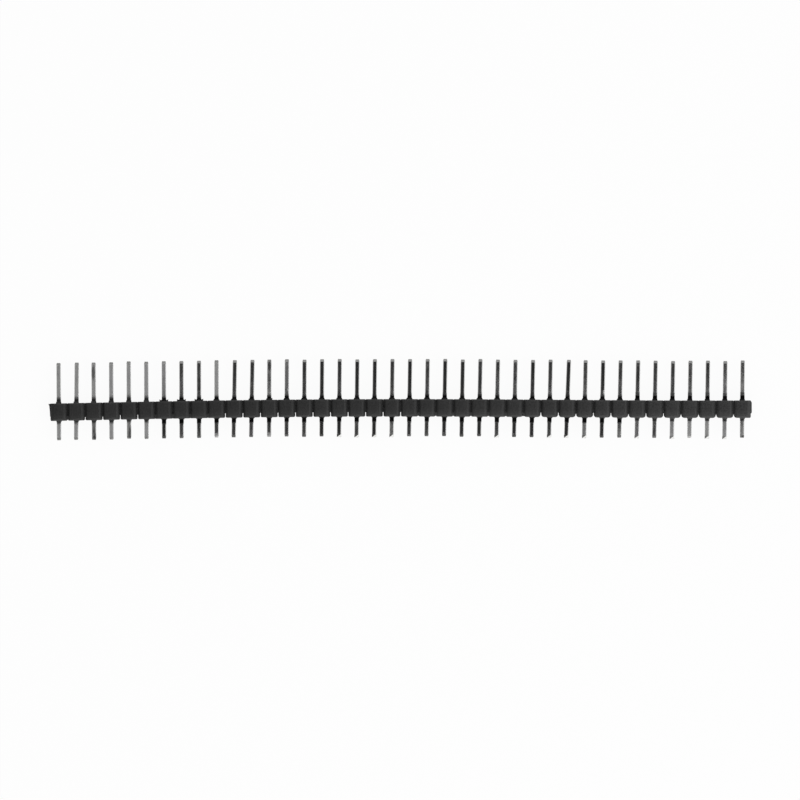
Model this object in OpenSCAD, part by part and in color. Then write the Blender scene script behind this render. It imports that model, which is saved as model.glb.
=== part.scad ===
// Breakaway pin header strip, single row, lying on one flank of its moulded housing.
// +X runs along the strip, +Y points to the tips of the long mating pins and +Z is up.
// Each position is one chamfered cell of the moulding. Thin webs join the cells, and a
// notch under each web lets the strip be snapped to length.

/* [Strip] */
// Number of pins
pin_count = 40; // [2:1:50]
// Distance from one pin to the next
pitch = 2.54; // [2.3:0.01:3]
// How far the middle of the strip bends towards the mating pins
bow = 0.41; // [0:0.01:1]
// How much of the bend lies towards the first pin
bow_skew = 0.5; // [0:0.05:1]

/* [Housing cells] */
// Height of the housing along the pins
body_h = 2.54; // [2:0.01:4]
// Thickness of the housing across the strip
body_t = 2.5; // [2:0.05:4]
// Gap between two cells below their web
cell_gap = 0.1; // [0.08:0.01:0.3]
// Width of the chamfer on each upright corner of a cell
corner_chamfer = 0.44; // [0.2:0.01:0.5]
// How far a chamfer's own edges are broken
chamfer_break = 0.12; // [0.02:0.01:0.15]
// Radius of a flank's edge on the tail side
tail_edge_r = 0.4; // [0.05:0.01:0.45]
// Radius of a flank's edge on the mating side
mating_edge_r = 0.08; // [0.04:0.01:0.3]
// Radius of a cell's corner beside a notch
notch_corner_r = 0.2; // [0.05:0.01:0.3]
// Radius of that corner where flash sealed the notch
sealed_corner_r = 0.06; // [0.03:0.01:0.2]
// Radius of that corner in the part of the strip whose corners are worn
worn_corner_r = 0.42; // [0.1:0.01:0.5]
// Radius of a cell's corner above a web
web_corner_r = 0.06; // [0.03:0.01:0.2]

/* [Break-off webs] */
// Thickness of the web between two cells
web_t = 1.5; // [0.8:0.05:1.6]
// Height of the open notch below a web
notch_h = 0.65; // [0.5:0.05:1.2]
// Step from the top of the cells down to the web
web_drop = 0.05; // [0.02:0.01:0.3]
// Thickness of the flash that closes some notches
flash_t = 1.9; // [0.1:0.05:1.9]
// Height that stays open below the flash of a closed notch
closed_foot = 0.12; // [0.05:0.01:0.2]
// The same below the flash of a sealed notch
sealed_foot = 0.05; // [0.03:0.01:0.1]
// The same below the flash of a half closed notch
short_foot = 0.48; // [0.3:0.01:0.5]
// How far the torn web stands out at the last cell
last_stub = 0.15; // [0.05:0.01:0.4]
// How far the torn corner stands out at the first cell
first_stub = 0.28; // [0.05:0.01:0.4]

/* [Collars round the pins] */
// Height of the collar on the mating side
mating_collar_h = 0.24; // [0.1:0.01:0.6]
// How far a collar's foot on the mating side stands out from the pin
mating_collar_w = 0.15; // [0.08:0.01:0.4]
// Height of the collar on the tail side
tail_collar_h = 0.14; // [0.06:0.01:0.4]
// How far a collar's foot on the tail side stands out from the pin
tail_collar_w = 0.13; // [0.08:0.01:0.4]
// How far the foot of a snug collar stands out from the pin
snug_collar_w = 0.07; // [0.06:0.01:0.2]
// Wall of a collar at its lip
collar_lip = 0.04; // [0.02:0.01:0.06]
// How far the curled burr at a scraped pin reaches from the pin's axis
burr_w = 0.63; // [0.5:0.01:0.7]
// The same at a pin that was only nicked
nick_w = 0.48; // [0.42:0.01:0.6]
// Height of a curled burr
burr_h = 0.3; // [0.15:0.01:0.5]

/* [Pins] */
// Side of a pin's square section
pin_w = 0.64; // [0.5:0.01:0.8]
// Chamfer along a pin's four long edges
pin_edge = 0.07; // [0.02:0.01:0.1]
// Length of the solder tail below the housing
tail_l = 2.87; // [2:0.01:6]
// Length of the mating pin above the housing
mating_l = 5.8; // [3:0.1:12]
// Length of the tip's tapered faces
tip_l = 0.35; // [0.1:0.05:0.8]
// How deep a mating tip's broad front and back faces taper
tip_face_cut = 0.17; // [0.05:0.01:0.2]
// How deep the same faces taper at the end of a tail
tail_face_cut = 0.07; // [0.03:0.01:0.2]
// How deep the sides taper at both ends
tip_side_cut = 0.07; // [0.03:0.01:0.2]
// Slope of a sheared tail's cut across the pin, in degrees
shear_slope = 36; // [10:1:45]
// Lean of a sheared tail's cut towards the upper flank, in degrees
shear_tilt = 31; // [10:1:45]
// How much longer such a tail is at the far corner of its cut
shear_extra = 0.11; // [0:0.01:0.3]
// Lean of every pin towards the last cell, in degrees
lean = 0.8; // [-1:0.1:1]
// Extra lean of a pin that was knocked, in degrees
knock_angle = 0.9; // [0:0.1:1]
// How far a pin may sit above or below its place
seat_scatter = 0.05; // [0:0.01:0.2]
// How far the first pin sits towards the mating tips, and the last away from them
seat_drift = 0.05; // [0:0.01:0.1]

/* [Hidden] */

// Seams, counted from the first cell, whose notch flash has sealed, closed or half closed
sealed_seams = [6, 7, 8, 9];
closed_seams = [1, 21, 22, 23, 24, 25, 26, 27];
short_seams = [2, 3, 30, 33, 36, 37, 38, 39];
// The first seam of the worn part
first_worn_seam = 27;
// Pins with snug collars, and pins that scraped or nicked the plastic on their way in
snug_pins = [1, 2, 3, 4, 5, 6, 34, 35, 36, 37, 38, 39, 40];
scraped_pins = [7, 8, 9];
nicked_pins = [13];
// Pins that were knocked and tails that were cut aslant
knocked_pins = [2, 11, 12, 30];
sheared_tails = [17, 18, 19, 20, 26, 29, 30, 31, 34, 36, 38, 39];

housing_colour = [0.11, 0.11, 0.115];
pin_colour = [0.74, 0.74, 0.72];

cell_w = pitch - cell_gap;
pin_z = body_t / 2;
// The seating face of the cells, which puts the middle of the strip's outline at Y = 0
seat_y = -(body_h + mating_l - tail_l + bow) / 2;
// How far webs and stubs reach into a cell that they grow from
root = 0.25;
// Steps in a quarter circle
arc_steps = 3;
// Where each pin sits, between -1 and 1, from a fixed seed
seats = rands(-1, 1, pin_count, 254);

function pin_name(i) = str("pin_", i < 10 ? "0" : "", i);
function holds(list, i) = len(search(i, list)) > 0;

// The strip's bend: t runs from -1 at the first pin to 1 at the last
function along(i) = 2 * (i - 1) / (pin_count - 1) - 1;
function bend(t) = bow * (1 - t * t) * (1 - bow_skew * t * (1 + t));
function bend_slope(t) =
    bow * (-2 * t * (1 - bow_skew * t * (1 + t)) - (1 - t * t) * bow_skew * (1 + 2 * t));
function bend_angle(t) = atan(bend_slope(t) / (pitch * (pin_count - 1) / 2));
function pin_lean(i) = lean + (holds(knocked_pins, i) ? knock_angle : 0);
function tail(i) = tail_l + (holds(sheared_tails, i) ? shear_extra : 0);
function pin_length(i) = tail(i) + body_h + mating_l;
function flash_foot(seam) =
    holds(sealed_seams, seam) ? sealed_foot
    : holds(closed_seams, seam) ? closed_foot
    : holds(short_seams, seam) ? short_foot
    : notch_h;
function seat(i) = seat_scatter * seats[i - 1] - seat_drift * along(i);
function collar_w(i, loose) = holds(snug_pins, i) ? snug_collar_w : loose;
function corner_r(seam) =
    holds(sealed_seams, seam) ? sealed_corner_r
    : seam >= first_worn_seam && seam < pin_count ? worn_corner_r
    : notch_corner_r;

// A rectangle about the origin with its corners cut
function cut_rect(size, c) = let (x = size.x / 2, y = size.y / 2) [
    [x, c - y], [x, y - c], [x - c, y], [c - x, y],
    [-x, y - c], [-x, c - y], [c - x, -y], [x - c, -y]
];
// The same with a break across each end of the cuts. Mirrored corners run backwards.
function broken_rect(size, c, b) = [
    for (side = [[1, 1], [-1, 1], [-1, -1], [1, -1]])
        let (mirrored = side.x != side.y, corner = broken_corner(size / 2, c, b * sqrt(0.5), b))
            for (k = [0:3]) let (p = corner[mirrored ? 3 - k : k]) [side.x * p.x, side.y * p.y]
];
function broken_corner(at, c, slant, b) = [
    [at.x, at.y - c - b], [at.x - slant, at.y - c + slant],
    [at.x - c + slant, at.y - slant], [at.x - c - b, at.y]
];
function quarter(centre, r, from) = [
    for (k = [0:arc_steps])
        let (a = from + 90 * k / arc_steps) centre + r * [cos(a), sin(a)]
];
// A rectangle from the origin, with its own radius at each corner on y = 0 and one at the others
function soft_rect(size, left, right, high) = concat(
    quarter([left, left], left, 180),
    quarter([size.x - right, right], right, 270),
    quarter([size.x - high, size.y - high], high, 0),
    quarter([high, size.y - high], high, 90)
);

// Profiles drawn in XZ run along +Y, and those drawn in YZ run along X about its middle
module along_y(l) translate([0, l, 0]) rotate([90, 0, 0]) linear_extrude(l) children();
module along_x(w) rotate([90, 0, 90]) linear_extrude(w, center = true) children();

// Puts its children at position i, which may be a half for a seam. Their origin is on the
// seating face, level with the resting flank, and their Y runs along the pin.
module at_position(i) {
    translate([pitch * (i - (pin_count + 1) / 2), seat_y + bend(along(i)), 0])
        rotate(bend_angle(along(i)))
            children();
}

// Puts its children on the axis of pin i, with their origin at the end of its tail
module on_pin(i) {
    at_position(i)
        translate([0, body_h / 2, pin_z])
            rotate(-pin_lean(i))
                translate([0, seat(i) - body_h / 2 - tail(i), 0])
                    children();
}

// Cell i: its plan gives the upright chamfers and two more outlines round its edges
module cell(i) {
    intersection() {
        translate([0, 0, pin_z])
            along_y(body_h) polygon(broken_rect([cell_w, body_t], corner_chamfer, chamfer_break));
        translate([-cell_w / 2, 0, 0])
            linear_extrude(body_t)
                polygon(soft_rect([cell_w, body_h], corner_r(i - 1), corner_r(i), web_corner_r));
        along_x(cell_w)
            rotate(90) mirror([0, 1])
                polygon(soft_rect([body_t, body_h], tail_edge_r, tail_edge_r, mating_edge_r));
    }
}

// The web over a notch, with any flash that fills the notch down to its foot
module web(foot) {
    web_w = cell_gap + 2 * root;
    translate([-web_w / 2, notch_h, pin_z - web_t / 2])
        cube([web_w, body_h - web_drop - notch_h, web_t]);
    if (foot < notch_h)
        translate([-web_w / 2, foot, pin_z - flash_t / 2])
            cube([web_w, notch_h - foot, flash_t]);
}

// What is left of the web where the strip was snapped from a longer one
module last_stub() {
    top = body_h - web_drop;
    translate([0, 0, pin_z - web_t / 2])
        linear_extrude(web_t)
            polygon([
                [cell_w / 2 - root, notch_h], [cell_w / 2 + last_stub * 0.6, notch_h],
                [cell_w / 2 + last_stub, notch_h + last_stub],
                [cell_w / 2 + last_stub, top - 2 * last_stub],
                [cell_w / 2 + last_stub / 2, top - last_stub / 2],
                [cell_w / 2 - root, top]
            ]);
}

module first_stub() {
    top = body_h - web_drop;
    side = -cell_w / 2;
    translate([0, 0, pin_z - web_t / 2])
        linear_extrude(web_t)
            polygon([
                [side + root, top], [side - first_stub, top],
                [side - first_stub / 2, top - first_stub],
                [side - first_stub / 4, top - 4 * first_stub],
                [side - first_stub / 5, notch_h], [side + root, notch_h]
            ]);
}

// A square collar that tapers from its foot to a thin lip round the pin
module collar(h, foot) {
    wide = pin_w / 2 + foot;
    lip = pin_w / 2 + collar_lip;
    intersection() {
        linear_extrude(2 * wide, center = true)
            polygon([[-wide, -root], [wide, -root], [wide, 0], [lip, h], [-lip, h], [-wide, 0]]);
        along_x(2 * wide)
            polygon([[-root, -wide], [0, -wide], [h, -lip], [h, lip], [0, wide], [-root, wide]]);
    }
}

// Plastic that curled up beside a pin, on its right
module burr(reach) {
    linear_extrude(pin_w, center = true)
        polygon([
            [0, -root], [reach * 0.8, -root], [reach, 0], [reach, burr_h],
            [reach * 0.7, burr_h * 0.6], [0, burr_h * 0.6]
        ]);
}

// The collar of pin i on the mating side, with the burrs of a pin that tore the plastic
module mating_collar(i) {
    collar(mating_collar_h, collar_w(i, mating_collar_w));
    if (holds(scraped_pins, i)) {
        burr(burr_w);
        mirror([1, 0]) burr(burr_w);
    }
    if (holds(nicked_pins, i)) burr(nick_w);
}

// The drawn wire that pins are cut from
module square_wire(l) along_y(l) polygon(cut_rect([pin_w, pin_w], pin_edge));

// A pin from the end of its tail at the origin to its mating tip. Two outlines taper the tips.
module pin_solid(l, sheared) {
    difference() {
        intersection() {
            square_wire(l);
            linear_extrude(pin_w, center = true)
                polygon(pin_outline(l, tip_side_cut, sheared ? 0 : tip_side_cut));
            along_x(pin_w)
                rotate(90) mirror([0, 1])
                    polygon(pin_outline(l, tip_face_cut, sheared ? 0 : tail_face_cut));
        }
        if (sheared)
            translate([-pin_w / 2, 0, pin_w / 2])
                rotate([-shear_tilt, 0, shear_slope])
                    translate([-1, -2, -3] * pin_w)
                        cube([4, 2, 4] * pin_w);
    }
}

// Outline of a pin whose tip is cut in on both sides, as its tail may be
function pin_outline(l, tip_cut, tail_cut) = let (half = pin_w / 2) concat(
    tail_cut > 0
        ? [[-half, tip_l], [tail_cut - half, 0], [half - tail_cut, 0], [half, tip_l]]
        : [[-half, 0], [half, 0]],
    [[half, l - tip_l], [half - tip_cut, l], [tip_cut - half, l], [-half, l - tip_l]]
);

module housing() {
    color(housing_colour)
        difference() {
            union() {
                for (i = [1:pin_count]) {
                    at_position(i) {
                        cell(i);
                        translate([0, body_h, pin_z]) mating_collar(i);
                        translate([0, 0, pin_z])
                            mirror([0, 1]) collar(tail_collar_h, collar_w(i, tail_collar_w));
                    }
                }
                for (i = [1:pin_count - 1])
                    at_position(i + 0.5)
                        web(flash_foot(i));
                at_position(1) first_stub();
                at_position(pin_count) last_stub();
            }
            // Each pin fills its passage, which runs right through its cell and collars
            for (i = [1:pin_count]) on_pin(i) square_wire(pin_length(i));
        }
}

module pin(i) {
    color(pin_colour) on_pin(i) pin_solid(pin_length(i), holds(sheared_tails, i));
}

housing();
for (i = [1:pin_count]) pin(i);
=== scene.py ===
"""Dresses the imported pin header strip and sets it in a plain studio.

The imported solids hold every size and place. The housing and each pin are finished here: a
merged copy of the solid gets its rounded edges, its own attributes and a procedural finish.
Places and sizes in the studio are in metres. The mesh bench, the finishes and their
attributes count in millimetres, which suit the part's size. Colours are linear greys.
"""

import logging
import math
from dataclasses import dataclass, field
from enum import Enum
from typing import Callable

import bmesh
import bpy
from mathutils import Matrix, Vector


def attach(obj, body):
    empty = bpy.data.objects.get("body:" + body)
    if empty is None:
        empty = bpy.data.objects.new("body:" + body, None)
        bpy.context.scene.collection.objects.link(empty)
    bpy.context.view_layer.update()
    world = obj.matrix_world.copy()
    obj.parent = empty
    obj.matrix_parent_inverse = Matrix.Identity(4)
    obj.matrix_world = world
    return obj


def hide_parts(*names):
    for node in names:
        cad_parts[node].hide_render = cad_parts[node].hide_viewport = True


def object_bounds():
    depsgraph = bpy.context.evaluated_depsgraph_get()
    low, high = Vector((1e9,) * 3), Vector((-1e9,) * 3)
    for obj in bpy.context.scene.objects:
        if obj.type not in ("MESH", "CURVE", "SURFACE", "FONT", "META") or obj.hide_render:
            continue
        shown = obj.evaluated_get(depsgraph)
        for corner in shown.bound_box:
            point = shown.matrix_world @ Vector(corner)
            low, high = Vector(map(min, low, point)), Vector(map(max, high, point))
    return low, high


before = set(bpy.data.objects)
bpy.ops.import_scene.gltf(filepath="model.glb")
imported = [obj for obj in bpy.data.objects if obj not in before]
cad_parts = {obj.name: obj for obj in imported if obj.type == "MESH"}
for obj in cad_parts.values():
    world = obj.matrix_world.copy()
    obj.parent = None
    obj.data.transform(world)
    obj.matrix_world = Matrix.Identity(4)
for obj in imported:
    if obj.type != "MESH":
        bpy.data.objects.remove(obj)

log = logging.getLogger("pin_header")

MILLIMETRE = 0.001
CAD_BOX = [list(corner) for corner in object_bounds()]

# Points closer than the first, in millimetres, are one point. Faces that turn by less than
# the second, in degrees, are one face, and shading breaks at edges that turn by more than
# the third.
SAME_POINT = 0.001
SAME_FACE = 0.5
SHADING_BREAK = 40.0


# ---------------------------------------------------------------- shader bench


class Wire:
    """A value socket that takes part in shader maths."""

    def __init__(self, bench: "Bench", socket: bpy.types.NodeSocket) -> None:
        """Wraps an output socket.

        Args:
            bench: The bench whose tree holds the socket.
            socket: The output that carries the value.
        """
        self.bench = bench
        self.socket = socket

    def _maths(self, operation: str, first: object, second: object) -> "Wire":
        """Adds a Math node and returns its result.

        Args:
            operation: The Math node's operation.
            first: The first value, a Wire or a number.
            second: The second value, a Wire or a number.

        Returns:
            The node's output.
        """
        return self.bench.node(
            "ShaderNodeMath", {"operation": operation}, {0: first, 1: second}
        )

    def __add__(self, other: object) -> "Wire":
        """Adds a value."""
        return self._maths("ADD", self, other)

    def __sub__(self, other: object) -> "Wire":
        """Takes a value away."""
        return self._maths("SUBTRACT", self, other)

    def __rsub__(self, other: object) -> "Wire":
        """Takes this from a value on the left."""
        return self._maths("SUBTRACT", other, self)

    def __mul__(self, other: object) -> "Wire":
        """Multiplies by a value."""
        return self._maths("MULTIPLY", self, other)

    def __truediv__(self, other: object) -> "Wire":
        """Divides by a value."""
        return self._maths("DIVIDE", self, other)

    def __neg__(self) -> "Wire":
        """Turns the value's sign."""
        return 0.0 - self

    def swing(self, size: float) -> "Wire":
        """Turns noise, which is about 0.5, into a swing about 0 of a size."""
        return (self - 0.5) * size

    def either(self, other: object) -> "Wire":
        """Takes the larger of two values."""
        return self._maths("MAXIMUM", self, other)

    def rise(self, start: float, end: float) -> "Wire":
        """Turns the span from start to end into a smooth step from 0 to 1.

        Args:
            start: The value that gives 0.
            end: The value that gives 1, which may be the lower one.

        Returns:
            The step, held at 0 and 1 outside the span.
        """
        low, high = min(start, end), max(start, end)
        step = self.bench.node(
            "ShaderNodeMapRange",
            {"interpolation_type": "SMOOTHSTEP", "clamp": True},
            {"Value": self, "From Min": low, "From Max": high},
        )
        return step if start < end else 1.0 - step


@dataclass(frozen=True)
class Pattern:
    """A cloud of noise fixed to the object.

    Its per_mm counts the features in a millimetre along X, Y and Z, its detail counts
    octaves, and its seed moves it to another place.
    """

    per_mm: tuple[float, float, float]
    detail: float
    seed: float


class Bench:
    """Builds one node tree, for a material or the world.

    Seeds move patterns along the seed way. A Mix node's colours have their own socket
    numbers.
    """

    SEED_WAY = (1.0, 0.37, -1.0)
    NOISE_ROUGHNESS = 0.55
    MIX_COLOURS = (6, 7)
    MIX_RESULT = 2

    def __init__(self, tree: bpy.types.NodeTree) -> None:
        """Empties a tree and takes it over.

        Args:
            tree: The node tree to fill.
        """
        self.tree = tree
        tree.nodes.clear()

    def add(
        self, kind: str, settings: dict[str, object], sockets: dict[str | int, object]
    ) -> bpy.types.Node:
        """Adds a node with its settings made first and its sockets filled after.

        Args:
            kind: The node's type name.
            settings: Attributes of the node.
            sockets: Values or Wires, by input name or number.

        Returns:
            The new node.
        """
        made = self.tree.nodes.new(kind)
        for name, value in settings.items():
            setattr(made, name, value)
        for name, value in sockets.items():
            if isinstance(value, Wire):
                self.tree.links.new(value.socket, made.inputs[name])
            else:
                made.inputs[name].default_value = value
        return made

    def node(
        self,
        kind: str,
        settings: dict[str, object],
        sockets: dict[str | int, object],
        output: str | int = 0,
    ) -> Wire:
        """Adds a node and gives one of its outputs.

        Args:
            kind: The node's type name.
            settings: Attributes of the node.
            sockets: Values or Wires, by input name or number.
            output: The output to return, by name or number.

        Returns:
            The chosen output.
        """
        return Wire(self, self.add(kind, settings, sockets).outputs[output])

    def place(self) -> Wire:
        """Gives the point's place in the object's own metres."""
        return self.node("ShaderNodeTexCoord", {}, {}, "Object")

    def axis(self, vector: Wire, name: str) -> Wire:
        """Gives one axis of a vector.

        Args:
            vector: The vector to split.
            name: X, Y or Z.

        Returns:
            That axis's value.
        """
        return self.node("ShaderNodeSeparateXYZ", {}, {0: vector}, name)

    def own(self, name: str) -> Wire:
        """Reads a float attribute that the mesh carries."""
        return self.node("ShaderNodeAttribute", {"attribute_name": name}, {}, "Fac")

    def noise(self, pattern: Pattern) -> Wire:
        """Makes a pattern's noise.

        Args:
            pattern: The pattern.

        Returns:
            The noise's value, about 0.5 on average.
        """
        moved = self.node(
            "ShaderNodeMapping",
            {"vector_type": "POINT"},
            {
                "Vector": self.place(),
                "Location": [pattern.seed * way for way in self.SEED_WAY],
                "Scale": [features / MILLIMETRE for features in pattern.per_mm],
            },
        )
        return self.node(
            "ShaderNodeTexNoise",
            {"noise_dimensions": "3D"},
            {
                "Vector": moved,
                "Scale": 1.0,
                "Detail": pattern.detail,
                "Roughness": self.NOISE_ROUGHNESS,
            },
            "Fac",
        )

    def blend(self, share: object, under: object, over: object) -> Wire:
        """Mixes two colours.

        Args:
            share: How much of the upper colour shows.
            under: The lower colour, as four numbers or a Wire.
            over: The upper colour, as four numbers or a Wire.

        Returns:
            The mixed colour.
        """
        lower, upper = self.MIX_COLOURS
        return self.node(
            "ShaderNodeMix",
            {"data_type": "RGBA", "clamp_factor": True},
            {0: share, lower: under, upper: over},
            self.MIX_RESULT,
        )

    def bump(self, height: Wire, depth: float, under: Wire | None = None) -> Wire:
        """Turns a height into a normal.

        Args:
            height: The height, where 1 stands for the whole depth.
            depth: That depth in millimetres.
            under: A normal that this one is laid over.

        Returns:
            The bumped normal.
        """
        sockets = {"Height": height, "Distance": depth * MILLIMETRE, "Strength": 1.0}
        if under:
            sockets["Normal"] = under
        return self.node("ShaderNodeBump", {}, sockets)

    def show(self, shader: Wire) -> None:
        """Sends a shader to the material's output."""
        self.add("ShaderNodeOutputMaterial", {}, {"Surface": shader})


def grey(level: float, yellow: float = 0.0) -> tuple[float, float, float, float]:
    """Gives a linear grey with an optional yellow cast.

    Args:
        level: The grey's level.
        yellow: The share by which blue falls.

    Returns:
        Red, green, blue and alpha.
    """
    return (level, level, level * (1 - yellow), 1.0)


def new_material(name: str) -> tuple[bpy.types.Material, Bench]:
    """Makes an empty material.

    Args:
        name: The material's name.

    Returns:
        The material, and the bench that fills it.
    """
    made = bpy.data.materials.new(name)
    made.use_nodes = True
    return made, Bench(made.node_tree)


# ---------------------------------------------------------------- finishes


@dataclass(frozen=True)
class MouldedPlastic:
    """Black glass-filled plastic, straight from the mould.

    It reads these attributes of the mesh, where lengths are in millimetres from the middle
    of the nearest cell's flank:
        across: the place along the strip
        rise: the place towards the mating pins
        collar_shade: 1 in the cells and on the sides whose collars get painted shade, dark
        and glossy, and less where they are half shaded
    """

    name: str = "moulded_black_plastic"

    # The patterns of the plastic, and the weights in its mottling and its relief.
    clouds: Pattern = Pattern((0.45, 0.6, 0.5), 4.0, 3.0)
    streaks: Pattern = Pattern((4.5, 0.35, 4.5), 3.0, 11.0)
    speckle: Pattern = Pattern((6.5, 6.5, 6.5), 2.0, 7.0)
    grain: Pattern = Pattern((15.0, 13.0, 15.0), 2.0, 31.0)
    flecks: Pattern = Pattern((4.2, 4.2, 4.2), 2.0, 19.0)
    mottled_clouds: float = 0.2
    mottled_streaks: float = 0.2
    mottled_speckle: float = 0.6
    raised_speckle: float = 0.7
    raised_grain: float = 0.5
    raised_streaks: float = 0.4
    raised_tear: float = 2.0
    relief: float = 0.006

    # The plastic itself: its grey and how far mottling takes that down and up, its shine,
    # and the crown of each flank over half a cell.
    black: float = 0.0155
    mottling: tuple[float, float] = (0.3, 0.7)
    darker: float = 0.55
    lighter: float = 1.5
    roughness: float = 0.56
    rough_speckle: float = 0.25
    rough_streaks: float = 0.12
    refraction: float = 1.5
    specular: float = 0.36
    crown_depth: float = 0.02
    half_cell: float = 1.2

    # Dust in specks, and a ramp from the first cell to the last that is partly dust and partly
    # painted light, brighter towards the last cell. The ramp also grows the paler foot and the
    # flecks.
    dust_and_light_grey: float = 0.045
    half_strip: float = 50.0
    dust_share: float = 0.66
    dust_specks: tuple[float, float] = (0.25, 0.75)

    # Painted light: a highlight along the lip by the mating pins, paler plastic along the foot
    # by the tails, and a highlight by the seams.
    lip_highlight_span: tuple[float, float] = (0.78, 1.06)
    lip_highlight: float = 0.45
    foot_light_span: tuple[float, float] = (0.1, 1.5)
    foot_light: float = 0.35
    foot_light_along_strip: float = 0.4
    before_seam: tuple[float, float] = (0.85, 1.1)
    after_seam: tuple[float, float] = (-1.1, -1.25)
    seam_highlight: float = 0.14
    even_edge_light: float = 0.6
    grained_edge_light: float = 0.8

    # Pale flecks.
    fleck: float = 0.045
    fleck_rim: tuple[float, float] = (0.68, 0.78)
    fleck_share: float = 0.25
    fleck_share_along_strip: float = 0.25

    # The painted shade, dark and glossy, on the collars, which stand out past the cells' faces,
    # and on the first end.
    painted_shade: float = 0.015
    above: float = 1.11
    below: float = 1.45
    blend: float = 0.03
    # Painted shade on the first cell's end.
    shaded_end_span: tuple[float, float] = (-50.2, -50.5)
    end_shade: float = 0.6
    shade_smoothing: float = 0.25

    # The torn webs at both ends.
    torn: float = 0.08
    torn_yellow: float = 0.01
    torn_beyond: float = 50.8
    even_tear: float = 0.3
    rough_tear: float = 0.2

    def beyond_the_cell(self, rise: Wire) -> Wire:
        """Finds the collars and burrs.

        Args:
            rise: The rise attribute.

        Returns:
            A mask that is 1 on the collars.
        """
        over = rise.rise(self.above, self.above + self.blend)
        return over.either(rise.rise(-self.below, -self.below - self.blend))

    def by_the_seam(self, across: Wire) -> Wire:
        """Finds the strips beside each seam, wider before it than after it.

        Args:
            across: The across attribute.

        Returns:
            A mask that is 1 beside the seams.
        """
        return across.rise(*self.before_seam).either(across.rise(*self.after_seam))

    def torn_webs(self, along: Wire) -> Wire:
        """Finds the torn webs at the strip's two ends.

        Args:
            along: The place along the strip, in millimetres.

        Returns:
            A mask that is 1 on the torn plastic.
        """
        last = along.rise(self.torn_beyond, self.torn_beyond + self.blend)
        return last.either(along.rise(-self.torn_beyond, -self.torn_beyond - self.blend))

    def edge_highlights(self, across: Wire, rise: Wire, dust_and_light_ramp: Wire) -> Wire:
        """Finds where painted light pales the cells, along the lip, the foot and the seams.

        Args:
            across: The across attribute.
            rise: The rise attribute.
            dust_and_light_ramp: The ramp of dust and painted light along the strip.

        Returns:
            How much painted light the plastic gets.
        """
        # Painted highlight along the lip, and paler plastic along the foot.
        lip = rise.rise(*self.lip_highlight_span) * self.lip_highlight
        foot = (-rise).rise(*self.foot_light_span)
        highlighted = lip + foot * (dust_and_light_ramp * self.foot_light_along_strip + self.foot_light)
        return highlighted.either(self.by_the_seam(across) * self.seam_highlight)

    def material(self) -> bpy.types.Material:
        """Makes the plastic's material.

        Returns:
            The finished material.
        """
        made, bench = new_material(self.name)
        across, rise = bench.own("across"), bench.own("rise")
        along = bench.axis(bench.place(), "X") / MILLIMETRE
        # A ramp along the strip, partly dust and partly painted light, brighter towards the last
        # cell.
        dust_and_light_ramp = along.rise(-self.half_strip, self.half_strip)
        torn = self.torn_webs(along)
        # Painted shade, dark and glossy, on the collars at the pin roots and on the first cell's
        # end.
        painted_shade = self.beyond_the_cell(rise) * bench.own("collar_shade")
        painted_shade = painted_shade.either(along.rise(*self.shaded_end_span) * self.end_shade * (1.0 - torn))

        clouds, streaks = bench.noise(self.clouds), bench.noise(self.streaks)
        speckle, grain = bench.noise(self.speckle), bench.noise(self.grain)
        flecks = bench.noise(self.flecks).rise(*self.fleck_rim)

        mottle = clouds * self.mottled_clouds + streaks * self.mottled_streaks
        mottle = mottle + speckle * self.mottled_speckle
        colour = bench.blend(
            mottle.rise(*self.mottling),
            grey(self.black * self.darker),
            grey(self.black * self.lighter),
        )
        # Painted light along the lip, the foot and the seams, broken up by grain.
        highlighted = self.edge_highlights(across, rise, dust_and_light_ramp) * (grain * self.grained_edge_light + self.even_edge_light)
        # Dust specks and painted light that grow towards the last cell.
        dusted_and_lit = dust_and_light_ramp * dust_and_light_ramp * speckle.rise(*self.dust_specks) * self.dust_share
        colour = bench.blend(dusted_and_lit + highlighted, colour, grey(self.dust_and_light_grey))
        flecked = flecks * (dust_and_light_ramp * self.fleck_share_along_strip + self.fleck_share)
        colour = bench.blend(flecked, colour, grey(self.fleck))
        # The painted shade's dark grey, over the plastic.
        colour = bench.blend(painted_shade, colour, grey(self.painted_shade))
        colour = bench.blend(
            torn * (grain + self.even_tear), colour, grey(self.torn, self.torn_yellow)
        )

        rough = speckle.swing(self.rough_speckle) + self.roughness
        rough = rough + streaks.swing(self.rough_streaks) + torn * self.rough_tear
        rough = rough - painted_shade * self.shade_smoothing
        crown = bench.bump(-(across * across) / self.half_cell**2, self.crown_depth)
        raised = speckle * self.raised_speckle + grain * self.raised_grain
        raised = raised + streaks * self.raised_streaks + torn * grain * self.raised_tear
        shader = bench.node(
            "ShaderNodeBsdfPrincipled",
            {},
            {
                "Base Color": colour,
                # The painted shade's dark metallic gloss.
                "Metallic": painted_shade,
                "Roughness": rough,
                "IOR": self.refraction,
                "Specular IOR Level": self.specular,
                "Normal": bench.bump(raised, self.relief, crown),
            },
        )
        bench.show(shader)
        return made


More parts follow.
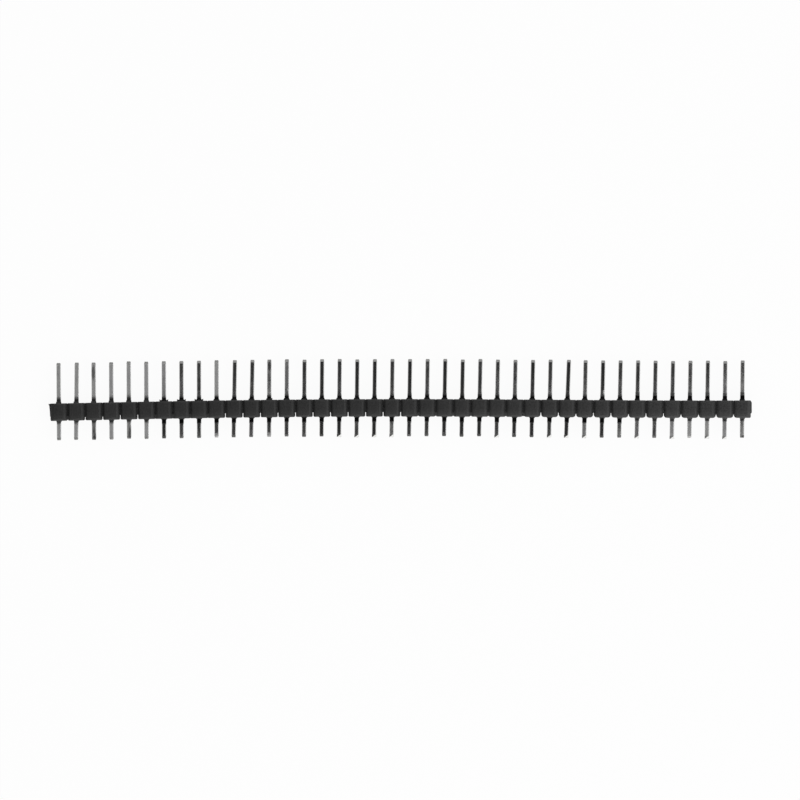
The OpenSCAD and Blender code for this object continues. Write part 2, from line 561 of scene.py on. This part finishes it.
@dataclass(frozen=True)
class TinPlate:
    """Tin on drawn square wire, with painted shade where the pin leaves the plastic.

    It reads these attributes of the mesh, where lengths are in millimetres:
        away: how far a point lies out from the plastic's face
        inward: how far it lies in from the pin's nearer end
        across: its place across the pin, from -1 on the left to 1 on the right
        tone: from 0 where the plating is mirror bright to 1 where it is satin
        sheared: 1 on the bare face where a tail was cut aslant
        end_grey: how light the tapered end's worn plating is
        reach, fade, depth, veil: the sizes of the painted root shade (see RootShade)
        scuff_at, scuff_side, scuff_length, scuff_width, scuff_light: one rubbed or stained
            spot (see Scuff)
    """

    name: str = "tin_plated_wire"

    # The patterns of the plating, and the weights in its relief.
    clouds: Pattern = Pattern((0.9, 0.5, 0.9), 3.0, 5.0)
    blotches: Pattern = Pattern((2.6, 1.6, 2.6), 2.0, 29.0)
    draws: Pattern = Pattern((14.0, 0.5, 14.0), 2.0, 9.0)
    grain: Pattern = Pattern((12.0, 9.0, 12.0), 2.0, 13.0)
    tint: Pattern = Pattern((0.35, 0.2, 0.35), 1.0, 41.0)
    raised_draws: float = 0.5
    raised_grain: float = 0.4
    raised_blotches: float = 0.5
    relief: float = 0.0022

    # The plating itself: its grey and its yellow cast, its darker drawing marks, and how
    # far its tone takes its roughness from mirror to satin.
    metal: float = 0.645
    yellow: float = 0.02
    tint_edge: tuple[float, float] = (0.35, 0.65)
    drawn: float = 0.6
    drawn_edge: tuple[float, float] = (0.3, 0.8)
    drawn_share: float = 0.15
    mirror_roughness: float = 0.13
    satin_roughness: float = 0.44
    rough_grain: float = 0.06
    tone_span: tuple[float, float] = (-0.05, 1.05)
    tone_clouds: float = 0.6
    tone_blotches: float = 0.35
    tone_rubbed: float = 0.9

    # The painted shade at the root, whose dark grey also colours the stains.
    root_shade: float = 0.014
    root_shade_roughness: float = 0.35
    root_shade_ragged: float = 0.14
    veil_share: float = 0.62
    least_veil: float = 0.1

    # The rubbed or stained spot.
    spot_ragged: float = 1.2
    spot_rim: tuple[float, float] = (1.3, 0.2)
    stain_share: float = 0.6

    # The worn tapered end.
    end_length: float = 0.34
    end_blend: float = 0.05
    end_ragged: float = 0.06
    end_roughness: float = 0.5

    # The bare face of a slanting cut.
    sheared_metal: float = 0.84
    sheared_roughness: float = 0.55
    sheared_edge: tuple[float, float] = (0.4, 0.7)
    sheared_streaks: float = 0.35

    def painted_root_shade(self, bench: Bench, away: Wire, blotches: Wire) -> Wire:
        """Lays the painted shade over the pin's root.

        Args:
            bench: The material's bench.
            away: The away attribute.
            blotches: Noise that makes the painted shade's border ragged.

        Returns:
            The painted shade's share.
        """
        away = away + blotches.swing(self.root_shade_ragged)
        reach, fade, veil = bench.own("reach"), bench.own("fade"), bench.own("veil")
        root_shade = ((reach - away) / fade).rise(0.0, 1.0) * bench.own("depth")
        beyond = ((reach + veil - away) / fade).rise(0.0, 1.0)
        return root_shade.either(beyond * self.veil_share * veil.rise(0.0, self.least_veil))

    def spot(self, bench: Bench, away: Wire, grain: Wire) -> Wire:
        """Finds the pin's one rubbed or stained spot.

        Args:
            bench: The material's bench.
            away: The away attribute.
            grain: Noise that breaks up the spot.

        Returns:
            The spot's share.
        """
        along = (away - bench.own("scuff_at")) / bench.own("scuff_length")
        sideways = (bench.own("across") - bench.own("scuff_side")) / bench.own("scuff_width")
        spread = along * along + sideways * sideways + grain.swing(self.spot_ragged)
        return spread.rise(*self.spot_rim)

    def plating(self, bench: Bench, draws: Wire) -> Wire:
        """Colours the clean plating.

        Args:
            bench: The material's bench.
            draws: Noise in the shape of the wire's drawing marks.

        Returns:
            The plating's colour.
        """
        tinted = bench.noise(self.tint).rise(*self.tint_edge)
        metal = bench.blend(tinted, grey(self.metal), grey(self.metal, self.yellow))
        marks = draws.rise(*self.drawn_edge) * self.drawn_share
        return bench.blend(marks, metal, grey(self.metal * self.drawn))

    def cut_face(self, bench: Bench, draws: Wire) -> Wire:
        """Colours the bare face of a slanting cut.

        Args:
            bench: The material's bench.
            draws: Noise in the shape of the wire's drawing marks.

        Returns:
            The face's colour.
        """
        return bench.blend(
            draws.rise(*self.sheared_edge) * self.sheared_streaks,
            grey(self.sheared_metal, self.yellow),
            grey(self.sheared_metal * self.drawn, self.yellow),
        )

    def material(self) -> bpy.types.Material:
        """Makes the plating's material.

        Returns:
            The finished material.
        """
        made, bench = new_material(self.name)
        away, inward = bench.own("away"), bench.own("inward")
        sheared, light = bench.own("sheared"), bench.own("scuff_light")
        clouds, blotches = bench.noise(self.clouds), bench.noise(self.blotches)
        draws, grain = bench.noise(self.draws), bench.noise(self.grain)

        # Painted shade where the pin leaves the plastic.
        root_shade = self.painted_root_shade(bench, away, blotches)
        spot = self.spot(bench, away, grain)
        rubbed = spot * light
        stain = spot * (1.0 - light) * self.stain_share
        inward = inward + grain.swing(self.end_ragged)
        end = inward.rise(self.end_length, self.end_length - self.end_blend)
        end = end * (1.0 - sheared) * (1.0 - rubbed)

        ends = bench.blend(bench.own("end_grey"), grey(0.0), grey(1.0, self.yellow))
        metal = bench.blend(end, self.plating(bench, draws), ends)
        metal = bench.blend(sheared, metal, self.cut_face(bench, draws))

        tone = bench.own("tone") + clouds.swing(self.tone_clouds)
        tone = tone + blotches.swing(self.tone_blotches) + rubbed * self.tone_rubbed
        satin = tone.rise(*self.tone_span) * (self.satin_roughness - self.mirror_roughness)
        rough = (satin + self.mirror_roughness) * (1.0 - end) + end * self.end_roughness
        rough = rough + grain.swing(self.rough_grain)
        rough = rough * (1.0 - sheared) + sheared * self.sheared_roughness
        raised = draws * self.raised_draws + grain * self.raised_grain
        raised = raised + blotches * self.raised_blotches + rubbed * grain
        shader = bench.node(
            "ShaderNodeBsdfPrincipled",
            {},
            {
                # The painted root shade and the stains darken the plating to one grey.
                "Base Color": bench.blend(root_shade.either(stain), metal, grey(self.root_shade)),
                "Metallic": 1.0,
                "Roughness": rough * (1.0 - root_shade) + root_shade * self.root_shade_roughness,
                "Normal": bench.bump(raised, self.relief),
            },
        )
        bench.show(shader)
        return made


# ---------------------------------------------------------------- mesh bench


def merged_copy(node: str) -> bmesh.types.BMesh:
    """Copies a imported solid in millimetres, with its loose triangles joined into whole faces.

    Args:
        node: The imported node's name.

    Returns:
        The copy, ready for the edge tools.
    """
    solid = bmesh.new()
    solid.from_mesh(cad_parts[node].data)
    bmesh.ops.scale(solid, vec=(1 / MILLIMETRE,) * 3, verts=solid.verts)
    bmesh.ops.remove_doubles(solid, verts=solid.verts, dist=SAME_POINT)
    bmesh.ops.dissolve_limit(
        solid, angle_limit=math.radians(SAME_FACE), verts=solid.verts, edges=solid.edges
    )
    return solid


def round_edges(
    solid: bmesh.types.BMesh, radius: float, segments: int, sharper_than: float
) -> None:
    """Rounds every edge that turns by more than an angle.

    Args:
        solid: The mesh, in millimetres.
        radius: How far the rounding reaches from each edge.
        segments: Steps across it.
        sharper_than: The least turn that is rounded, in degrees.
    """
    edges = [e for e in solid.edges if e.calc_face_angle(0.0) > math.radians(sharper_than)]
    bmesh.ops.bevel(
        solid,
        geom=edges,
        offset=radius,
        offset_type="OFFSET",
        segments=segments,
        profile=0.5,
        affect="EDGES",
        clamp_overlap=False,
        material=-1,
    )


def label(solid: bmesh.types.BMesh, name: str, value: Callable[[Vector], float]) -> None:
    """Writes a float attribute that a finish reads.

    Args:
        solid: The mesh, in millimetres.
        name: The attribute's name.
        value: Gives the attribute at a vertex's place.
    """
    layer = solid.verts.layers.float.new(name)
    for vert in solid.verts:
        vert[layer] = value(vert.co)


def finish_piece(
    solid: bmesh.types.BMesh, name: str, replaced: str, material: bpy.types.Material
) -> bpy.types.Object:
    """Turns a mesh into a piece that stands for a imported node.

    Args:
        solid: The mesh, in millimetres. It is freed.
        name: The piece's name.
        replaced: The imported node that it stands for.
        material: The piece's finish.

    Returns:
        The new object, riding on the strip's body.
    """
    bmesh.ops.scale(solid, vec=(MILLIMETRE,) * 3, verts=solid.verts)
    mesh = bpy.data.meshes.new(name)
    solid.to_mesh(mesh)
    solid.free()
    for face in mesh.polygons:
        face.use_smooth = True
    mesh.set_sharp_from_angle(angle=math.radians(SHADING_BREAK))
    mesh.materials.append(material)
    piece = bpy.data.objects.new(name, mesh)
    bpy.context.scene.collection.objects.link(piece)
    even = piece.modifiers.new("even_shading", "WEIGHTED_NORMAL")
    even.keep_sharp = True
    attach(piece, "root")
    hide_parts(replaced)
    return piece


# ---------------------------------------------------------------- sub-assemblies


@dataclass
class Housing:
    """The moulding: forty cells, their webs and the collars round the pins.

    A flank faces up, by a cosine over the level, and is larger than the least flank, in
    square millimetres. The collars of the cells in shaded_collars_above and
    shaded_collars_below get painted shade, dark and glossy, and those in half_shaded_below
    only the half shade.
    """

    edge_radius: float = 0.025
    segments: int = 2
    sharper_than: float = 35
    level: float = 0.999
    least_flank: float = 1.0
    shaded_collars_above: range = range(7, 41)
    shaded_collars_below: range = range(7, 33)
    half_shaded_below: frozenset[int] = frozenset({4, 5, 6, 33, 34, 35})
    half_shade: float = 0.45
    finish: MouldedPlastic = field(default_factory=MouldedPlastic)

    def flank_middles(self, solid: bmesh.types.BMesh) -> list[Vector]:
        """Finds the middle of each cell's upper flank.

        Args:
            solid: The moulding, in millimetres.

        Returns:
            The middles, from the first cell to the last.
        """
        flanks = [
            face.calc_center_bounds()
            for face in solid.faces
            if face.normal.z > self.level and face.calc_area() > self.least_flank
        ]
        top = max(middle.z for middle in flanks)
        return sorted((at for at in flanks if at.z > top / 2), key=lambda at: at.x)

    def build(self) -> bpy.types.Object:
        """Finishes the moulding.

        Returns:
            The finished piece.
        """
        solid = merged_copy("housing")
        middles = self.flank_middles(solid)
        pitch = (middles[-1].x - middles[0].x) / (len(middles) - 1)

        def cell(place: Vector) -> int:
            """Gives the number of the cell that holds a place, counted from 1."""
            return min(max(round((place.x - middles[0].x) / pitch), 0), len(middles) - 1) + 1

        def from_middle(place: Vector) -> Vector:
            """Gives a place as seen from the middle of its cell's flank."""
            return place - middles[cell(place) - 1]

        def collar_shade(place: Vector) -> float:
            """Tells how much painted shade the collars on this side of the cell get."""
            if from_middle(place).y > 0:
                return float(cell(place) in self.shaded_collars_above)
            if cell(place) in self.half_shaded_below:
                return self.half_shade
            return float(cell(place) in self.shaded_collars_below)

        round_edges(solid, self.edge_radius, self.segments, self.sharper_than)
        label(solid, "across", lambda place: from_middle(place).x)
        label(solid, "rise", lambda place: from_middle(place).y)
        # Painted shade on the collars beside the pin roots.
        label(solid, "collar_shade", collar_shade)
        return finish_piece(
            solid, "moulded_housing", "housing", self.finish.material()
        )


@dataclass(frozen=True)
class RootShade:
    """The painted shade on a pin beside the plastic.

    It covers the pin out to its reach, thins over its fade before that, and hides the
    metal by its depth. A thinner veil of it may stretch beyond.
    """

    reach: float
    fade: float
    depth: float = 1.0
    veil: float = 0.0


@dataclass(frozen=True)
class Scuff:
    """A rubbed spot, or a stained one, at a distance out from the plastic.

    Its side and width are shares of the pin's half width. It is rubbed light where its
    light is 1, and stained dark where that is 0.
    """

    at: float
    side: float
    length: float
    light: float = 1.0
    width: float = 0.75


class Tone(Enum):
    """How the plating came out of the bath."""

    MIRROR = 0.12
    SHINY = 0.35
    SOFT = 0.42
    CLOUDED = 0.5
    MILKY = 0.59
    PALE = 0.76
    SATIN = 1.0


class Root(Enum):
    """How the painted shade lies at a pin's root."""

    SHORT = RootShade(0.88, 0.56)
    LONG = RootShade(1.14, 0.8)
    VEILED = RootShade(0.82, 0.14, veil=0.43)
    HAZY = RootShade(1.08, 0.75, depth=0.87)
    TAIL = RootShade(0.93, 0.34)
    SMOKY = RootShade(0.7, 0.55, depth=0.86)
    THIN = RootShade(0.5, 0.16, depth=0.83)


@dataclass(frozen=True)
class Side:
    """One row of pin ends, on one side of the plastic.

    Each mapping names the pins that differ from the row's usual tone or root. The trend is
    how much satin the plating gains from the end to the root, and some pins reverse it. The
    end greys are those of the tapered ends on the brightest pins and on the satin ones. The
    light ends are lighter than that by the gain. A pin that has no scuff gets the hidden
    one, which lies inside the plastic.
    """

    tone: Tone
    root: Root
    tones: dict[Tone, set[int]]
    roots: dict[Root, set[int]]
    scuffs: dict[int, Scuff]
    trend: float
    reversed_trend: set[int]
    end_greys: tuple[float, float]
    light_ends: frozenset[int] = frozenset()
    light_end_gain: float = 2.0
    hidden_scuff: Scuff = Scuff(-9.0, 0.0, 0.1)

    def tone_of(self, number: int) -> Tone:
        """Gives the tone of a pin, by its number."""
        return next((tone for tone, pins in self.tones.items() if number in pins), self.tone)

    def root_shade_of(self, number: int) -> RootShade:
        """Gives the painted root shade of a pin, by its number."""
        return next((root for root, pins in self.roots.items() if number in pins), self.root).value

    def trend_of(self, number: int) -> float:
        """Gives the trend of a pin, by its number."""
        return -self.trend if number in self.reversed_trend else self.trend

    def end_of(self, number: int) -> float:
        """Gives the grey of a pin's tapered end, by its number."""
        bright, satin = self.end_greys
        end_grey = bright + (satin - bright) * self.tone_of(number).value
        return end_grey * (self.light_end_gain if number in self.light_ends else 1.0)

    def scuff_of(self, number: int) -> Scuff:
        """Gives the scuff of a pin, by its number."""
        return self.scuffs.get(number, self.hidden_scuff)


def mating_side() -> Side:
    """Describes the long mating pins."""
    return Side(
        tone=Tone.SHINY,
        root=Root.LONG,
        tones={
            Tone.SATIN: {*range(1, 7), 10},
            Tone.PALE: {7},
            Tone.MILKY: {13, 14},
            Tone.CLOUDED: {39, 40},
            Tone.SOFT: {8, 9, 26, 27, 31, 35, 37},
            Tone.MIRROR: {16, 18, 19, 21, 23, 24, 28, 30, 32},
        },
        roots={
            Root.HAZY: set(range(1, 7)),
            Root.SHORT: set(range(7, 21)),
            Root.VEILED: set(range(34, 41)),
        },
        scuffs={
            3: Scuff(4.3, -0.2, 1.1, light=0.0, width=0.9),
            13: Scuff(4.9, 0.2, 0.9, light=0.0),
            14: Scuff(1.4, 0.9, 0.35),
            27: Scuff(1.1, 0.3, 0.7, light=0.3),
            28: Scuff(2.75, 0.0, 0.3, light=0.35),
            30: Scuff(1.26, 0.0, 0.15, light=0.4, width=0.5),
            32: Scuff(1.15, 0.8, 0.45),
        },
        trend=0.2,
        reversed_trend={5, 7, 14},
        end_greys=(0.4, 0.32),
    )


def solder_side() -> Side:
    """Describes the short solder tails."""
    return Side(
        tone=Tone.SHINY,
        root=Root.TAIL,
        tones={
            Tone.SATIN: {1, 2, 4, 6},
            Tone.PALE: {5, 36, 37, 38, 39},
            Tone.MILKY: {3, 20, 31, 40},
            Tone.CLOUDED: {33, 34},
            Tone.SOFT: {8, 12, 18, 35},
            Tone.MIRROR: {7, 16, 17, 19, 23, 24, 25, 27, 28, 30, 32},
        },
        roots={Root.SMOKY: set(range(1, 7)), Root.THIN: set(range(34, 41))},
        scuffs={
            3: Scuff(2.5, 0.6, 0.7, light=0.0),
            5: Scuff(2.1, 0.6, 1.2, light=0.0),
            10: Scuff(2.6, 0.0, 0.4, light=0.8, width=1.6),
            13: Scuff(2.6, -0.3, 0.4, light=0.8, width=1.3),
            23: Scuff(2.38, -0.3, 0.12, light=0.5),
            27: Scuff(2.42, -0.4, 0.12, light=0.5),
            40: Scuff(2.75, 0.5, 0.3, light=0.0),
        },
        trend=-0.15,
        reversed_trend={3, 5, 18},
        end_greys=(0.1, 0.31),
        light_ends=frozenset({37}),
    )


@dataclass
class PinRow:
    """The forty plated pins.

    Two cuts, each the hidden half away from a pin's centre and so inside the plastic, keep
    the mating pin's attributes from the tail's. The shear slopes bound the cosine between a
    slanting cut's face and the pin's axis.
    """

    edge_radius: float = 0.022
    segments: int = 2
    sharper_than: float = 20
    mating_length: float = 5.8
    tail_length: float = 2.87
    body_height: float = 2.54
    hidden_half: float = 0.9
    shear_slopes: tuple[float, float] = (-0.95, -0.55)
    mating: Side = field(default_factory=mating_side)
    solder: Side = field(default_factory=solder_side)
    finish: TinPlate = field(default_factory=TinPlate)

    def mark(self, solid: bmesh.types.BMesh, number: int) -> None:
        """Writes the attributes that the plating reads.

        Args:
            solid: The pin, in millimetres.
            number: The pin's number.
        """
        longest = max(solid.edges, key=lambda edge: edge.calc_length())
        axis = (longest.verts[0].co - longest.verts[1].co).normalized()
        axis = axis if axis.y > 0 else -axis
        right = axis.cross(Vector((0, 0, 1)))
        tip = max(vert.co.dot(axis) for vert in solid.verts)
        sides = [vert.co.dot(right) for vert in solid.verts]
        middle, half = (max(sides) + min(sides)) / 2, (max(sides) - min(sides)) / 2
        centre = tip - self.mating_length - self.body_height / 2
        for step in (-self.hidden_half, self.hidden_half):
            bmesh.ops.bisect_plane(
                solid,
                geom=[*solid.verts, *solid.edges, *solid.faces],
                plane_co=axis * (centre + step),
                plane_no=axis,
            )

        def mates(place: Vector) -> bool:
            """Tells whether a place lies on the mating pins' side of the plastic."""
            return place.dot(axis) > centre

        def side(place: Vector) -> Side:
            """Gives the side of the plastic that a place lies on."""
            return self.mating if mates(place) else self.solder

        def length(place: Vector) -> float:
            """Gives the length of the pin's end on that side."""
            return self.mating_length if mates(place) else self.tail_length

        def away(place: Vector) -> float:
            """Gives how far out from the plastic's face a place lies."""
            return abs(place.dot(axis) - centre) - self.body_height / 2

        def tone(place: Vector) -> float:
            """Gives the plating's tone, which its trend leaves alone halfway out."""
            trend = side(place).trend_of(number) * (0.5 - away(place) / length(place))
            return side(place).tone_of(number).value + trend

        self.mark_sheared(solid, axis)
        label(solid, "away", away)
        label(solid, "inward", lambda place: length(place) - away(place))
        label(solid, "across", lambda place: (place.dot(right) - middle) / half)
        label(solid, "end_grey", lambda place: side(place).end_of(number))
        label(solid, "tone", tone)
        # The sizes of the painted root shade.
        for name in ("reach", "fade", "depth", "veil"):
            label(solid, name, lambda place: getattr(side(place).root_shade_of(number), name))
        for name in ("at", "side", "length", "width", "light"):
            label(
                solid, f"scuff_{name}", lambda place: getattr(side(place).scuff_of(number), name)
            )

    def mark_sheared(self, solid: bmesh.types.BMesh, axis: Vector) -> None:
        """Marks the face of a slanting cut.

        Args:
            solid: The pin, in millimetres.
            axis: The pin's axis, towards its mating tip.
        """
        low, high = self.shear_slopes
        solid.normal_update()
        layer = solid.faces.layers.float.new("sheared")
        for face in solid.faces:
            face[layer] = float(low < face.normal.dot(axis) < high)

    def build(self) -> list[bpy.types.Object]:
        """Finishes every pin.

        Returns:
            The pins, in order.
        """
        material = self.finish.material()
        pins = []
        for node in sorted(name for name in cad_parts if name.startswith("pin_")):
            solid = merged_copy(node)
            round_edges(solid, self.edge_radius, self.segments, self.sharper_than)
            self.mark(solid, int(node.removeprefix("pin_")))
            pins.append(finish_piece(solid, f"plated_{node}", node, material))
        return pins


# ---------------------------------------------------------------- studio


@dataclass
class Studio:
    """A white table under soft light, seen from straight above.

    The strip fills a share of the picture's width. The camera hangs at its distance above
    the strip, is turned, and stands off the strip's middle by the aim. The walls are
    brightest towards the bright way, an angle from X. The opening is the grey of a dark
    round window overhead, whose rim blurs between two angles from the zenith. Angles are in
    degrees.
    """

    fill: float = 0.8797
    distance: float = 2.0
    turn: float = -0.25
    aim: tuple[float, float] = (0.0, -0.055 * MILLIMETRE)
    sensor_mm: float = 36.0
    nearest: float = 0.01
    floor_half: float = 3.0
    floor_gap: float = 0.02 * MILLIMETRE
    floor_white: float = 0.93
    floor_share: float = 0.94
    floor_roughness: float = 0.5
    bright_way: float = -40.0
    bright_wall: float = 1.0
    dim_wall: float = 0.75
    opening: float = 0.029
    opening_rim: tuple[float, float] = (38.0, 18.0)
    lamp_place: tuple[float, float, float] = (0.26, -0.19, 0.26)
    lamp_size: float = 0.5
    lamp_power: float = 0.74

    def walls(self) -> None:
        """Makes a world of pale walls, brightest on one side, with a dark opening overhead."""
        world = bpy.data.worlds.new("studio_walls")
        bpy.context.scene.world = world
        world.use_nodes = True
        bench = Bench(world.node_tree)
        way = bench.node("ShaderNodeTexCoord", {}, {}, "Generated")
        turn = math.radians(self.bright_way)
        toward = bench.axis(way, "X") * math.cos(turn) + bench.axis(way, "Y") * math.sin(turn)
        wall = bench.blend(toward.rise(-1.0, 1.0), grey(self.dim_wall), grey(self.bright_wall))
        rim, core = (math.cos(math.radians(angle)) for angle in self.opening_rim)
        colour = bench.blend(bench.axis(way, "Z").rise(rim, core), wall, grey(self.opening))
        light = bench.node("ShaderNodeBackground", {}, {"Color": colour, "Strength": 1.0})
        bench.add("ShaderNodeOutputWorld", {}, {"Surface": light})

    def table_finish(self) -> bpy.types.Material:
        """Makes white paper that the camera and reflections see as almost pure white.

        Returns:
            The finished material.
        """
        made, bench = new_material("white_table")
        paper = bench.node(
            "ShaderNodeBsdfDiffuse",
            {},
            {"Color": grey(self.floor_white), "Roughness": self.floor_roughness},
        )
        white = bench.node("ShaderNodeEmission", {}, {"Color": grey(1.0), "Strength": 1.0})
        camera = bench.node("ShaderNodeLightPath", {}, {}, "Is Camera Ray")
        glossy = bench.node("ShaderNodeLightPath", {}, {}, "Is Glossy Ray")
        seen = camera.either(glossy) * self.floor_share
        bench.show(bench.node("ShaderNodeMixShader", {}, {0: seen, 1: paper, 2: white}))
        return made

    def floor(self) -> bpy.types.Object:
        """Lays the table top.

        Returns:
            The floor.
        """
        slab = bmesh.new()
        bmesh.ops.create_grid(slab, x_segments=1, y_segments=1, size=self.floor_half)
        bmesh.ops.translate(slab, vec=(0, 0, -self.floor_gap), verts=slab.verts)
        mesh = bpy.data.meshes.new("table_top")
        slab.to_mesh(mesh)
        slab.free()
        mesh.materials.append(self.table_finish())
        made = bpy.data.objects.new("table_top", mesh)
        bpy.context.scene.collection.objects.link(made)
        return made

    def lamp(self) -> None:
        """Hangs a square soft lamp that faces the strip."""
        data = bpy.data.lights.new("key", "AREA")
        data.size, data.energy = self.lamp_size, self.lamp_power
        made = bpy.data.objects.new("key", data)
        made.location = self.lamp_place
        made.rotation_euler = (-Vector(self.lamp_place)).to_track_quat("-Z", "Y").to_euler()
        bpy.context.scene.collection.objects.link(made)

    def camera(self) -> None:
        """Sets the camera straight above the strip, with the strip level in its frame."""
        low, high = (Vector(corner) for corner in CAD_BOX)
        data = bpy.data.cameras.new("camera")
        data.sensor_width = self.sensor_mm
        width = (high.x - low.x) / self.fill
        data.lens = self.sensor_mm * self.distance / width
        data.clip_start = self.nearest
        made = bpy.data.objects.new("camera", data)
        middle = (low + high) / 2
        made.location = (
            middle.x + self.aim[0],
            middle.y + self.aim[1],
            high.z + self.distance,
        )
        made.rotation_euler = (0, 0, math.radians(self.turn))
        bpy.context.scene.collection.objects.link(made)
        bpy.context.scene.camera = made

    def build(self) -> bpy.types.Object:
        """Sets up the world, lamp, camera and floor.

        Returns:
            The floor.
        """
        self.walls()
        self.lamp()
        self.camera()
        bpy.context.scene.view_settings.view_transform = "Standard"
        return self.floor()


def main() -> None:
    """Builds the strip and its studio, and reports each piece."""
    logging.basicConfig(level=logging.INFO, format="%(message)s")
    steps: list[tuple[str, Callable[[], object]]] = [
        ("housing", Housing().build),
        ("pins", PinRow().build),
        ("studio", Studio().build),
    ]
    for name, build in steps:
        made = build()
        for piece in made if isinstance(made, list) else [made]:
            log.info("%s: %s, %d faces", name, piece.name, len(piece.data.polygons))


if __name__ == "__main__":
    main()
